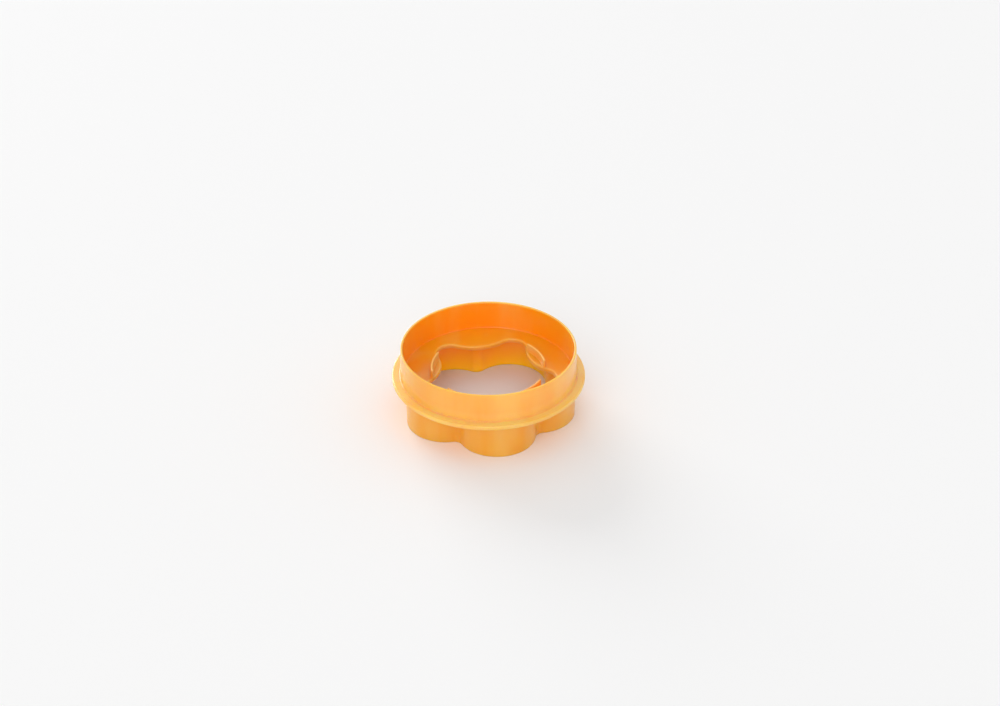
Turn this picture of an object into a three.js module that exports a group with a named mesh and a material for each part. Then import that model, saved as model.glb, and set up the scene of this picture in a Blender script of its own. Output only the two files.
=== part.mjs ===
// Double-sided pastry cutter for tartlets, moulded in orange plastic: a round cutting wall on top,
// a flat plate with a flower window and a grip flange in the middle, and a five-petal cutting skirt below.
// Millimetres, +Z up. The flower edge stands on z = 0, and the axis of the cutter is the Z axis.
import * as THREE from 'three';

// Heights, from the flower edge upwards
const SKIRT_HEIGHT = 19.6;
const PLATE_THICKNESS = 2.4;
const ROUND_WALL_HEIGHT = 15.4;

// Round cutting wall: the outside spreads and the inside closes in from the rim down to the foot
const RIM_RADIUS = 45;
const RIM_THICKNESS = 1.1;
const RIM_EDGE_BREAK = 0.15;
const OUTER_DRAFT = 0.4;
const INNER_DRAFT = 0.2;
const WALL_FILLET = 0.6;

// Grip flange, measured outwards from the foot of the round wall
const FLANGE_WIDTH = 4.3;
const FLANGE_EDGE_ROUND = 0.8;

// Petal skirt: radii of its inner face, and how far its tips stay inside the foot of the round wall
const PETALS = 5;
const PETAL_RADIUS = 19.1;
const VALLEY_RADIUS = 5.3;
const PETAL_INSET = 0.2;
const SKIRT_EDGE = 0.9;
const SKIRT_ROOT = 1.3;
const SKIRT_FILLET = 0.8;

// Flower window: slimmer petals than the skirt, with a ledge left standing outside their tips
const LEDGE_WIDTH = 9.1;
const WINDOW_PETAL_RADIUS = 7.4;
const WINDOW_VALLEY_RADIUS = 22.3;
const WINDOW_EDGE_ROUND = 0.8;

// Low upright ribs on the ledge, one behind each valley of the window except the one opposite the front petal
const RIB_HEIGHT = 4.1;
const RIB_THICKNESS = 1.2;
const RIB_SETBACK = 3.8;
const RIB_END_INSET = 0.3;
const PLAIN_VALLEY = 2;

// Facets of the curved faces
const PETAL_STEPS = 18;
const VALLEY_STEPS = 10;
const WALL_STEPS = 140;
const ROUND_STEPS = 3;
const RIB_STEPS = 12;

// Worked out from the sizes above
const FRONT = -Math.PI / 2;
const halfPitch = Math.PI / PETALS;
const plateTop = SKIRT_HEIGHT + PLATE_THICKNESS;
const rimHeight = plateTop + ROUND_WALL_HEIGHT;
const wallFootRadius = RIM_RADIUS + OUTER_DRAFT;
const flangeRadius = wallFootRadius + FLANGE_WIDTH;
const petalTip = wallFootRadius - PETAL_INSET - SKIRT_ROOT;
const skirtOutline = {
  centre: petalTip - PETAL_RADIUS,
  petal: PETAL_RADIUS,
  valley: VALLEY_RADIUS,
};
const windowOutline = {
  centre: petalTip - LEDGE_WIDTH - WINDOW_PETAL_RADIUS,
  petal: WINDOW_PETAL_RADIUS,
  valley: WINDOW_VALLEY_RADIUS,
};

function plastic() {
  return new THREE.MeshStandardMaterial({ color: 0xf8ab4e, roughness: 0.3, metalness: 0 });
}

function piece(name, geometry) {
  const mesh = new THREE.Mesh(geometry, plastic());
  mesh.name = name;
  return mesh;
}

// Where the tangent arc of a valley has its centre, and how far the arcs swing past the petals' sides.
function valleyArc({ centre, petal, valley }) {
  const side = centre * Math.sin(halfPitch);
  const reach = Math.sqrt((petal + valley) ** 2 - side ** 2);
  return { distance: centre * Math.cos(halfPitch) + reach, swing: Math.atan2(side, reach) };
}

// Stations along one arc of a flower. The side is +1 on a petal, where an outward offset adds to
// the radius, and -1 in a valley, where it takes away from it.
function arcStations(direction, distance, radius, side, from, to, steps) {
  const centre = new THREE.Vector2(distance * Math.cos(direction), distance * Math.sin(direction));
  const stations = [];
  for (let step = 0; step < steps; step += 1) {
    stations.push({ centre, radius, side, angle: from + ((to - from) * step) / steps });
  }
  return stations;
}

// A whole flower, anticlockwise from the front petal: petal arcs joined by tangent valley arcs.
function flowerStations(outline) {
  const { distance, swing } = valleyArc(outline);
  const sweep = halfPitch + swing;
  const stations = [];
  for (let petal = 0; petal < PETALS; petal += 1) {
    const tip = FRONT + 2 * halfPitch * petal;
    const back = tip + halfPitch + Math.PI;
    stations.push(...arcStations(tip, outline.centre, outline.petal, 1,
      tip - sweep, tip + sweep, PETAL_STEPS));
    stations.push(...arcStations(tip + halfPitch, distance, outline.valley, -1,
      back + swing, back - swing, VALLEY_STEPS));
  }
  return stations;
}

const skirtFlower = flowerStations(skirtOutline);
const windowFlower = flowerStations(windowOutline);

function flowerPoint(station, offset, height) {
  const radius = station.radius + station.side * offset;
  return new THREE.Vector3(
    station.centre.x + radius * Math.cos(station.angle),
    station.centre.y + radius * Math.sin(station.angle),
    height,
  );
}

function flowerRing(flower, offset, height) {
  return flower.map((station) => flowerPoint(station, offset, height));
}

// A round ring whose points lie straight outwards from those of the window.
function roundRing(radius, height) {
  return windowFlower.map((station) => flowerPoint(station, 0, 0).setLength(radius).setZ(height));
}

// Steps of a quarter round between an upright and a level face, as distances from both of them,
// starting on the upright one. It serves hollow fillets and rounded edges alike.
function quarterRound(radius) {
  const steps = [];
  for (let step = 0; step <= ROUND_STEPS; step += 1) {
    const angle = (Math.PI / 2) * (step / ROUND_STEPS);
    steps.push({ aside: radius * (1 - Math.cos(angle)), away: radius * (1 - Math.sin(angle)) });
  }
  return steps;
}

// Skin over closed rings: they run up the outside and down the inside, and the last joins the first.
function loftRings(rings) {
  const count = rings[0].length;
  const index = [];
  rings.forEach((ring, level) => {
    const here = level * count;
    const next = ((level + 1) % rings.length) * count;
    ring.forEach((point, i) => {
      const j = (i + 1) % count;
      index.push(here + i, here + j, next + j, here + i, next + j, next + i);
    });
  });
  const geometry = new THREE.BufferGeometry().setFromPoints(rings.flat());
  geometry.setIndex(index);
  geometry.computeVertexNormals();
  return geometry;
}

// Thin skirt with an upright inner face, thicker at its root, where fillets spread under the plate.
function flowerSkirt() {
  const fillet = quarterRound(SKIRT_FILLET);
  const ring = (offset, belowPlate) => flowerRing(skirtFlower, offset, SKIRT_HEIGHT - belowPlate);
  const outside = fillet.map(({ aside, away }) => ring(SKIRT_ROOT + aside, away));
  const inside = fillet.map(({ aside, away }) => ring(-aside, away)).reverse();
  return loftRings([ring(SKIRT_EDGE, SKIRT_HEIGHT), ...outside, ...inside, ring(0, SKIRT_HEIGHT)]);
}

// Flat plate: the grip flange with its rounded edge outside, and the flower window with rounded edges inside.
function windowPlate() {
  const grip = quarterRound(FLANGE_EDGE_ROUND);
  const opening = quarterRound(WINDOW_EDGE_ROUND);
  const gripBelow = grip.map(({ aside, away }) => roundRing(flangeRadius - aside, SKIRT_HEIGHT + away));
  const gripAbove = grip.map(({ aside, away }) => roundRing(flangeRadius - aside, plateTop - away));
  const openingAbove = opening.map(({ aside, away }) => flowerRing(windowFlower, aside, plateTop - away));
  const openingBelow = opening.map(({ aside, away }) => flowerRing(windowFlower, aside, SKIRT_HEIGHT + away));
  return loftRings([...gripBelow.reverse(), ...gripAbove, ...openingAbove.reverse(), ...openingBelow]);
}

// Revolved wall standing on the plate: fillets at its foot, and a broken edge on both sides of its flat rim.
function roundWall() {
  const rimInside = RIM_RADIUS - RIM_THICKNESS;
  const footInside = rimInside - INNER_DRAFT;
  const edgeHeight = rimHeight - RIM_EDGE_BREAK;
  const fillet = quarterRound(WALL_FILLET);
  const outside = fillet.map(({ aside, away }) => [wallFootRadius + aside, plateTop + away]).reverse();
  const inside = fillet.map(({ aside, away }) => [footInside - aside, plateTop + away]);
  const profile = [
    ...outside,
    [RIM_RADIUS, edgeHeight],
    [RIM_RADIUS - RIM_EDGE_BREAK, rimHeight],
    [rimInside + RIM_EDGE_BREAK, rimHeight],
    [rimInside, edgeHeight],
    ...inside,
    outside[0],
  ].map(([radius, height]) => new THREE.Vector2(radius, height));
  return new THREE.LatheGeometry(profile, WALL_STEPS).rotateX(Math.PI / 2);
}

// Level arc at the middle of a rib, on top of the plate.
class RibArc extends THREE.Curve {
  constructor(radius, direction, reach) {
    super();
    Object.assign(this, { radius, direction, reach });
  }

  getPoint(t, target = new THREE.Vector3()) {
    const angle = this.direction + this.reach * (2 * t - 1);
    return target.set(this.radius * Math.cos(angle), this.radius * Math.sin(angle), plateTop);
  }
}

// Upright rib with a rounded crest. It ends just short of the window on both sides of its valley.
function windowRib(direction) {
  const half = RIB_THICKNESS / 2;
  const { centre, petal, valley } = windowOutline;
  const innerRadius = valleyArc(windowOutline).distance - valley + RIB_SETBACK;
  const radius = innerRadius + half;
  const crossing = Math.acos((innerRadius ** 2 + centre ** 2 - petal ** 2) / (2 * innerRadius * centre));
  const reach = halfPitch - crossing - (RIB_END_INSET + WINDOW_EDGE_ROUND) / innerRadius;
  // Swept along a level arc, the x axis of the section points down, so the crest lies at negative x.
  const crest = half - RIB_HEIGHT;
  const section = new THREE.Shape();
  section.moveTo(0, half);
  section.lineTo(crest, half);
  section.absarc(crest, 0, half, Math.PI / 2, (3 * Math.PI) / 2);
  section.lineTo(0, -half);
  section.closePath();
  const path = new RibArc(radius, direction, reach);
  return new THREE.ExtrudeGeometry(section, { steps: RIB_STEPS, curveSegments: 6, extrudePath: path });
}

const cutter = new THREE.Group();
cutter.add(piece('flower_skirt', flowerSkirt()));
cutter.add(piece('window_plate', windowPlate()));
cutter.add(piece('round_wall', roundWall()));

let ribCount = 0;
for (let valley = 0; valley < PETALS; valley += 1) {
  if (valley !== PLAIN_VALLEY) {
    ribCount += 1;
    cutter.add(piece(`window_rib_${ribCount}`, windowRib(FRONT + halfPitch * (2 * valley + 1))));
  }
}

export default cutter;
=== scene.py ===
import math

import bpy
from mathutils import Matrix, Vector


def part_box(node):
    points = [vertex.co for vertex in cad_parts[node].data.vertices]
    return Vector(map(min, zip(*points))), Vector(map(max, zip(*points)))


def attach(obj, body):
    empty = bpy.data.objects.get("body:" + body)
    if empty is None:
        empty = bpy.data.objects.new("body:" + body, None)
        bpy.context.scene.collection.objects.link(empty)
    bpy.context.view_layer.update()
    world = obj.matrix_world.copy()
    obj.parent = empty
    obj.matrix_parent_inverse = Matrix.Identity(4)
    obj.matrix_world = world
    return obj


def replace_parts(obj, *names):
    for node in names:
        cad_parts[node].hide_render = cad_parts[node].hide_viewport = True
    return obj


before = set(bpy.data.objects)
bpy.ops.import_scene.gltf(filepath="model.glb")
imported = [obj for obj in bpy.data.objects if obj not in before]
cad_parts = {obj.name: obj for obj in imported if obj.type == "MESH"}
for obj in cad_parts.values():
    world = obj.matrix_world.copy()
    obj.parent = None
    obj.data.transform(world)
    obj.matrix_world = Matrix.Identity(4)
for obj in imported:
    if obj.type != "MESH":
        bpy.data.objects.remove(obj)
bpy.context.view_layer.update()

# Petal cutting skirt: a thin upright wall in the outline of a five-petal flower, moulded in orange
# polypropylene. It is thickest at its root, where fillets spread under the plate, and it ends below in a
# narrow rounded cutting edge. Its outside is painted a little paler, as light through the thin wall, and its
# inside near the edge is painted the yellow of light shining through: a painted light level of 1 is the
# palest, and -1 that yellow glow.
mm = 0.001
petal_count = 5
petal_radius = 19.1 * mm
valley_radius = 5.3 * mm
skirt_edge_width = 0.9 * mm
skirt_root_width = 1.3 * mm
skirt_edge_round = 0.25 * mm
skirt_fillet = 0.8 * mm
skirt_outside_painted_light = 0.17
skirt_inside_painted_light = 0.0
skirt_edge_painted_glow = -1.0
petal_steps = 40
valley_steps = 26
round_steps = 6
skirt_low, skirt_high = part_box("flower_skirt")
front = -math.pi / 2
half_pitch = math.pi / petal_count
petal_tip = -skirt_low.y - skirt_root_width - skirt_fillet


def polar(radius, angle, height=0.0):
    """A point at a distance from the axis, in a direction round it and at a height."""
    return Vector((radius * math.cos(angle), radius * math.sin(angle), height))


def valley_arc(centre, petal, valley):
    """Distance of a valley's arc centre from the axis, and how far the arcs swing past the petals' sides."""
    side = centre * math.sin(half_pitch)
    reach = math.sqrt((petal + valley) ** 2 - side ** 2)
    return centre * math.cos(half_pitch) + reach, math.atan2(side, reach)


def flower(centre, petal, valley):
    """Points round a flower, each as the centre, radius, side and angle of the arc that it lies on."""
    distance, swing = valley_arc(centre, petal, valley)
    sweep = half_pitch + swing
    stations = []
    for number in range(petal_count):
        tip = front + 2 * half_pitch * number
        for step in range(petal_steps):
            stations.append((polar(centre, tip), petal, 1, tip + sweep * (2 * step / petal_steps - 1)))
        between = tip + half_pitch
        for step in range(valley_steps):
            angle = between + math.pi - swing * (2 * step / valley_steps - 1)
            stations.append((polar(distance, between), valley, -1, angle))
    return stations


def flower_ring(stations, offset, height):
    """The flower at a height, moved outwards by the offset."""
    return [
        centre + polar(radius + side * offset, angle, height)
        for centre, radius, side, angle in stations
    ]


def arc(across, up, radius, start, end, steps=round_steps):
    """Points of a rounded corner in the section of a wall, as (across, up), from one angle to another."""
    angles = [math.radians(start + (end - start) * step / steps) for step in range(steps + 1)]
    return [(across + radius * math.cos(angle), up + radius * math.sin(angle)) for angle in angles]


skirt_flower = flower(petal_tip - petal_radius, petal_radius, valley_radius)
skirt_foot = skirt_low.z + skirt_edge_round
skirt_neck = skirt_high.z - skirt_fillet
edge_outside = arc(skirt_edge_width - skirt_edge_round, skirt_foot, skirt_edge_round, -90, 0)
edge_inside = arc(skirt_edge_round, skirt_foot, skirt_edge_round, 180, 270)
root_outside = arc(skirt_root_width + skirt_fillet, skirt_neck, skirt_fillet, 180, 90)
root_inside = arc(-skirt_fillet, skirt_neck, skirt_fillet, 90, 0)

# Middle plate: the flat web between both cutting sides. Outside the round wall it is the grip flange with
# a rounded edge, and inside it is a ledge round the flower window, whose petals are slimmer.
ledge_width = 9.1 * mm
window_petal = 7.4 * mm
window_valley = 22.3 * mm
window_edge_round = 0.8 * mm
# Painted highlights: the flange's top and rounded edge and the window's rounded edge are painted paler, the
# window's fading out over a strip of the ledge.
window_painted_highlight_strip = 0.5 * mm
flange_edge_round = 0.8 * mm
flange_edge_painted_highlight = 0.6
flange_top_painted_highlight = 0.9
ledge_painted_light = 0.0
window_edge_painted_highlight = 0.25
plate_low, plate_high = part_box("window_plate")
flange_side = plate_high.x - flange_edge_round
window_centre = petal_tip - ledge_width - window_petal
window_flower = flower(window_centre, window_petal, window_valley)


def round_ring(radius, height):
    """A circle at a height, with its points in directions halfway between those of both flowers."""
    pairs = zip(flower_ring(skirt_flower, 0, 0), flower_ring(window_flower, 0, 0))
    middles = [skirt.normalized() + window.normalized() for skirt, window in pairs]
    return [polar(radius, math.atan2(middle.y, middle.x), height) for middle in middles]


flange_edge = (
    arc(flange_side, plate_low.z + flange_edge_round, flange_edge_round, -90, 0)
    + arc(flange_side, plate_high.z - flange_edge_round, flange_edge_round, 0, 90)
)
window_edge = (
    arc(window_edge_round, plate_high.z - window_edge_round, window_edge_round, 90, 180)
    + arc(window_edge_round, plate_low.z + window_edge_round, window_edge_round, 180, 270)
)
ledge_above = (window_edge_round + window_painted_highlight_strip, plate_high.z)
ledge_below = (window_edge_round + window_painted_highlight_strip, plate_low.z)

# Round cutting wall: a slightly tapered ring on the plate, with a fillet at its foot on both sides. Its
# thin rounded rim cuts round pieces when the cutter is turned over.
rim_radius = 45.0 * mm
rim_width = 1.1 * mm
rim_round = 0.3 * mm
outer_draft = 0.4 * mm
inner_draft = 0.2 * mm
wall_fillet = 0.6 * mm
crease_width = 0.3 * mm
# Painted light: the rim is painted pale as a highlight, fading below it; the outer wall is painted paler
# than the inner as a sheen, and its foot paler still as a highlight in the crease, lifting its shade.
painted_rim_highlight_depth = 0.9 * mm
painted_foot_highlight_height = 5.0 * mm
foot_outside_painted_highlight = 0.62
wall_outside_painted_sheen = 0.36
rim_painted_highlight = 0.4
wall_inside_painted_light = 0.0
wall_low, wall_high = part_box("round_wall")
rim_inside = rim_radius - rim_width
rim_seat = wall_high.z - rim_round
wall_foot = wall_low.z + wall_fillet
fillet_outside = rim_radius + outer_draft + wall_fillet
fillet_inside = rim_inside - inner_draft - wall_fillet
foot_outside = arc(fillet_outside, wall_foot, wall_fillet, 270, 180)
foot_inside = arc(fillet_inside, wall_foot, wall_fillet, 0, -90)
flange_top = [(flange_side - crease_width, wall_low.z), (fillet_outside + crease_width, wall_low.z)]
under_rim = (
    rim_inside - inner_draft * painted_rim_highlight_depth / (rim_seat - wall_foot),
    rim_seat - painted_rim_highlight_depth,
)
above_foot = (
    rim_radius + outer_draft * (1 - painted_foot_highlight_height / (rim_seat - wall_foot)),
    wall_foot + painted_foot_highlight_height,
)
rim = (
    arc(rim_radius - rim_round, rim_seat, rim_round, 0, 90)
    + arc(rim_inside + rim_round, rim_seat, rim_round, 90, 180)
)

# Moulding: skirt, plate and wall are one shot of glossy polypropylene that lets some light through, so
# one closed skin runs up the outside of the skirt, round the flange, over the rim and down through the
# window. Flange, rim and edges are painted paler than the rest as highlights, and a yellow glow of light
# shining through is painted inside the skirt near its edge.
body_scatter = 1.0


def orange_plastic(name, scatter):
    """Glossy orange polypropylene with painted highlights and glow by place, upright flow marks, uneven
    gloss and fine grain.
    """
    body_orange = (0.98, 0.36, 0.002, 1)
    # The pale orange paints highlights and light through thin places, and the yellow paints the glow of
    # light shining through; the body orange is the plastic's own colour.
    painted_highlight_orange = (0.995, 0.66, 0.2, 1)
    painted_glow_yellow = (0.99, 0.56, 0.001, 1)
    scatter_by_colour = (1.0, 0.75, 0.1)
    scatter_depth = 2.8 * mm
    flow_stretch = (1, 1, 0.2)
    flow_tint = 0.16
    smoothest = 0.3
    roughest = 0.36
    grain_height = 0.02 * mm
    material = bpy.data.materials.new(name)
    material.use_nodes = True
    nodes = material.node_tree.nodes
    links = material.node_tree.links
    shader = nodes["Principled BSDF"]
    shader.inputs["IOR"].default_value = 1.5
    shader.inputs["Specular IOR Level"].default_value = 0.5
    shader.inputs["Coat Weight"].default_value = 0.3
    shader.inputs["Coat Roughness"].default_value = 0.12
    shader.inputs["Subsurface Weight"].default_value = scatter
    shader.inputs["Subsurface Radius"].default_value = scatter_by_colour
    shader.inputs["Subsurface Scale"].default_value = scatter_depth
    place = nodes.new("ShaderNodeTexCoord")

    upright = nodes.new("ShaderNodeMapping")
    upright.inputs["Scale"].default_value = flow_stretch
    links.new(place.outputs["Object"], upright.inputs["Vector"])
    flow = nodes.new("ShaderNodeTexNoise")
    flow.inputs["Scale"].default_value = 75
    flow.inputs["Detail"].default_value = 3
    links.new(upright.outputs["Vector"], flow.inputs["Vector"])
    flow_range = nodes.new("ShaderNodeMapRange")
    flow_range.inputs["From Min"].default_value = 0.3
    flow_range.inputs["From Max"].default_value = 0.7
    flow_range.inputs["To Min"].default_value = -flow_tint
    flow_range.inputs["To Max"].default_value = flow_tint
    links.new(flow.outputs["Fac"], flow_range.inputs["Value"])

    # Painted light: the per-ring level pales the orange as painted highlights and light through thin places,
    # and below zero paints the yellow glow of light shining through.
    painted_light = nodes.new("ShaderNodeAttribute")
    painted_light.attribute_name = "painted_light"
    flow_and_painted_paleness = nodes.new("ShaderNodeMath")
    flow_and_painted_paleness.operation = "ADD"
    flow_and_painted_paleness.use_clamp = True
    links.new(flow_range.outputs["Result"], flow_and_painted_paleness.inputs[0])
    links.new(painted_light.outputs["Fac"], flow_and_painted_paleness.inputs[1])
    colour = nodes.new("ShaderNodeMix")
    colour.data_type = "RGBA"
    colour.inputs["A"].default_value = body_orange
    colour.inputs["B"].default_value = painted_highlight_orange
    links.new(flow_and_painted_paleness.outputs["Value"], colour.inputs["Factor"])
    painted_glow = nodes.new("ShaderNodeMath")
    painted_glow.operation = "MULTIPLY"
    painted_glow.use_clamp = True
    painted_glow.inputs[1].default_value = -1
    links.new(painted_light.outputs["Fac"], painted_glow.inputs[0])
    lit_colour = nodes.new("ShaderNodeMix")
    lit_colour.data_type = "RGBA"
    lit_colour.inputs["B"].default_value = painted_glow_yellow
    links.new(painted_glow.outputs["Value"], lit_colour.inputs["Factor"])
    links.new(colour.outputs["Result"], lit_colour.inputs["A"])
    links.new(lit_colour.outputs["Result"], shader.inputs["Base Color"])

    gloss = nodes.new("ShaderNodeTexNoise")
    gloss.inputs["Scale"].default_value = 60
    gloss.inputs["Detail"].default_value = 3
    links.new(place.outputs["Object"], gloss.inputs["Vector"])
    gloss_range = nodes.new("ShaderNodeMapRange")
    gloss_range.inputs["To Min"].default_value = smoothest
    gloss_range.inputs["To Max"].default_value = roughest
    links.new(gloss.outputs["Fac"], gloss_range.inputs["Value"])
    links.new(gloss_range.outputs["Result"], shader.inputs["Roughness"])

    grain = nodes.new("ShaderNodeTexNoise")
    grain.inputs["Scale"].default_value = 900
    grain.inputs["Detail"].default_value = 2
    links.new(place.outputs["Object"], grain.inputs["Vector"])
    grain_bump = nodes.new("ShaderNodeBump")
    grain_bump.inputs["Strength"].default_value = 0.06
    grain_bump.inputs["Distance"].default_value = grain_height
    links.new(grain.outputs["Fac"], grain_bump.inputs["Height"])
    links.new(grain_bump.outputs["Normal"], shader.inputs["Normal"])
    return material


def bridge(rings, closed):
    """Faces between rings of equally many points; a closed skin also joins the last ring to the first."""
    count = len(rings[0])
    faces = []
    for level in range(len(rings) if closed else len(rings) - 1):
        here = level * count
        above = (level + 1) % len(rings) * count
        for i in range(count):
            j = (i + 1) % count
            faces.append((here + i, here + j, above + j, above + i))
    return faces


def moulded(name, rings, painted_light_levels, faces, plastic):
    """A smooth moulded piece with a painted light level for each of its rings, riding on the cutter."""
    mesh = bpy.data.meshes.new(name)
    mesh.from_pydata([point for ring in rings for point in ring], [], faces)
    mesh.shade_smooth()
    painted_light = mesh.attributes.new("painted_light", "FLOAT", "POINT")
    painted_light.data.foreach_set("value", [value for value in painted_light_levels for _ in rings[0]])
    mesh.materials.append(plastic)
    made = bpy.data.objects.new(name, mesh)
    bpy.context.scene.collection.objects.link(made)
    made.modifiers.new("even_normals", "WEIGHTED_NORMAL")
    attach(made, "root")
    return made


# Outline, section and painted light level of each stretch of the skin. A stretch without a flower is round.
skin = (
    (skirt_flower, edge_outside, skirt_outside_painted_light),
    (skirt_flower, root_outside, skirt_outside_painted_light),
    (None, flange_edge, flange_edge_painted_highlight),
    (None, flange_top, flange_top_painted_highlight),
    (None, foot_outside, foot_outside_painted_highlight),
    (None, [above_foot], wall_outside_painted_sheen),
    (None, rim, rim_painted_highlight),
    (None, [under_rim], wall_inside_painted_light),
    (None, foot_inside, wall_inside_painted_light),
    (window_flower, [ledge_above], ledge_painted_light),
    (window_flower, window_edge, window_edge_painted_highlight),
    (window_flower, [ledge_below], ledge_painted_light),
    (skirt_flower, root_inside, skirt_inside_painted_light),
    (skirt_flower, edge_inside, skirt_edge_painted_glow),
)
body_rings = []
body_painted_light_levels = []
for outline, section, painted_light in skin:
    for across, up in section:
        body_rings.append(flower_ring(outline, across, up) if outline else round_ring(across, up))
        body_painted_light_levels.append(painted_light)
body_plastic = orange_plastic("orange_plastic", body_scatter)
body = moulded("cutter_body", body_rings, body_painted_light_levels, bridge(body_rings, closed=True), body_plastic)
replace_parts(body, "flower_skirt", "window_plate", "round_wall")

# Ledge ribs: low curved ridges on the ledge behind the valleys of the window, moulded with the body, with
# rounded crests and ends. The valley opposite the front petal has none.
rib_width = 1.2 * mm
rib_setback = 3.8 * mm
rib_end_inset = 1.1 * mm
rib_crest_round = 0.5 * mm
rib_fillet = 0.4 * mm
rib_sink = 0.3 * mm
# The ribs are painted a little paler at the foot and paler at the crest, as highlights.
rib_foot_painted_light = 0.2
rib_crest_painted_highlight = 0.55
rib_scatter = 0.0
rib_arc_steps = 28
rib_end_steps = 10
rib_fillet_steps = 4
plain_valley = 2
valley_distance, _ = valley_arc(window_centre, window_petal, window_valley)
rib_inside = valley_distance - window_valley + rib_setback
rib_radius = rib_inside + rib_width / 2
window_crossing = math.acos((rib_inside ** 2 + window_centre ** 2 - window_petal ** 2)
                            / (2 * rib_inside * window_centre))
rib_sweep = half_pitch - window_crossing - (rib_end_inset + rib_width / 2) / rib_inside
rib_plastic = orange_plastic("rib_plastic", rib_scatter)


def rib_ring(half_width, direction, height):
    """The outline of a rib seen from above: an arc outside, an arc inside, and round ends between them."""
    outline = []
    for side in (1, -1):
        end = direction + side * rib_sweep
        outwards = end if side > 0 else end + math.pi
        for step in range(rib_arc_steps + 1):
            angle = direction + side * rib_sweep * (2 * step / rib_arc_steps - 1)
            outline.append(polar(rib_radius + side * half_width, angle, height))
        for step in range(1, rib_end_steps):
            turn = outwards + math.pi * step / rib_end_steps
            outline.append(polar(rib_radius, end, height) + polar(half_width, turn))
    return outline


def ledge_rib(name, node, direction):
    """One rib in the place of its node: a root sunk in the ledge, a fillet round its foot, a round crest."""
    low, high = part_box(node)
    half = rib_width / 2
    root = [(half + rib_fillet, low.z - rib_sink)]
    foot = root + arc(half + rib_fillet, low.z + rib_fillet, rib_fillet, 270, 180, rib_fillet_steps)
    crest = arc(half - rib_crest_round, high.z - rib_crest_round, rib_crest_round, 0, 90)
    rings = [rib_ring(across, direction, up) for across, up in foot + crest]
    painted_light_levels = [rib_foot_painted_light] * len(foot) + [rib_crest_painted_highlight] * len(crest)
    count = len(rings[0])
    underside = tuple(reversed(range(count)))
    top = tuple(range((len(rings) - 1) * count, len(rings) * count))
    faces = [underside] + bridge(rings, closed=False) + [top]
    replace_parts(moulded(name, rings, painted_light_levels, faces, rib_plastic), node)


rib_valleys = [valley for valley in range(petal_count) if valley != plain_valley]
for number, valley in enumerate(rib_valleys, start=1):
    ledge_rib(f"ledge_rib_{number}", f"window_rib_{number}", front + half_pitch * (2 * valley + 1))

# Worktop: a plain pale surface under the cutter, matt enough to keep a soft shadow and no reflection.
# It isn't part of the object.
worktop_size = 6.0
worktop_white = (0.93, 0.93, 0.93, 1)
worktop_roughness = 0.8
bpy.ops.mesh.primitive_plane_add(size=worktop_size)
worktop = bpy.context.object
worktop.name = "worktop"
worktop_finish = bpy.data.materials.new("pale_worktop")
worktop_finish.use_nodes = True
worktop_shader = worktop_finish.node_tree.nodes["Principled BSDF"]
worktop_shader.inputs["Base Color"].default_value = worktop_white
worktop_shader.inputs["Roughness"].default_value = worktop_roughness
worktop.data.materials.append(worktop_finish)

# Studio light: a white tent all round, a large soft lamp low behind the cutter that shines through its
# walls, and a weaker one in front. Each lamp has a strength, a spread in degrees and a direction to it.
tent_white = (1, 1, 1, 1)
tent_strength = 0.75
lamps = (
    ("back_lamp", 1.85, 40, (-0.3, 0.88, 0.2)),
    ("front_lamp", 0.7, 45, (-0.35, -0.75, 0.5)),
)
scene = bpy.context.scene
scene.view_settings.view_transform = "Standard"
world = bpy.data.worlds.new("white_tent")
world.use_nodes = True
tent = world.node_tree.nodes["Background"]
tent.inputs["Color"].default_value = tent_white
tent.inputs["Strength"].default_value = tent_strength
scene.world = world
for name, strength, spread, towards in lamps:
    lamp = bpy.data.lights.new(name, "SUN")
    lamp.energy = strength
    lamp.angle = math.radians(spread)
    lamp_object = bpy.data.objects.new(name, lamp)
    lamp_object.rotation_euler = Vector(towards).to_track_quat("Z", "Y").to_euler()
    scene.collection.objects.link(lamp_object)

# Camera: a long lens at the photographed height and turn, so that the front petal points a little right.
# Its place is measured from the cutter's axis, before the turn.
image_width = 1000
focal_pixels = 2107.6
camera_pitch = math.radians(32.51)
camera_turn = math.radians(-10)
camera_place = Vector((5.89, -908.68, 612.79)) * mm
camera = bpy.data.cameras.new("camera")
camera.sensor_fit = "HORIZONTAL"
camera.sensor_width = 36
camera.lens = camera.sensor_width * focal_pixels / image_width
camera.clip_start = 0.05
camera_object = bpy.data.objects.new("camera", camera)
scene.collection.objects.link(camera_object)
turned = Matrix.Rotation(camera_turn, 4, "Z")
stand = Matrix.Translation(camera_place)
camera_object.matrix_world = turned @ stand @ Matrix.Rotation(math.pi / 2 - camera_pitch, 4, "X")
scene.camera = camera_object

bpy.context.view_layer.update()
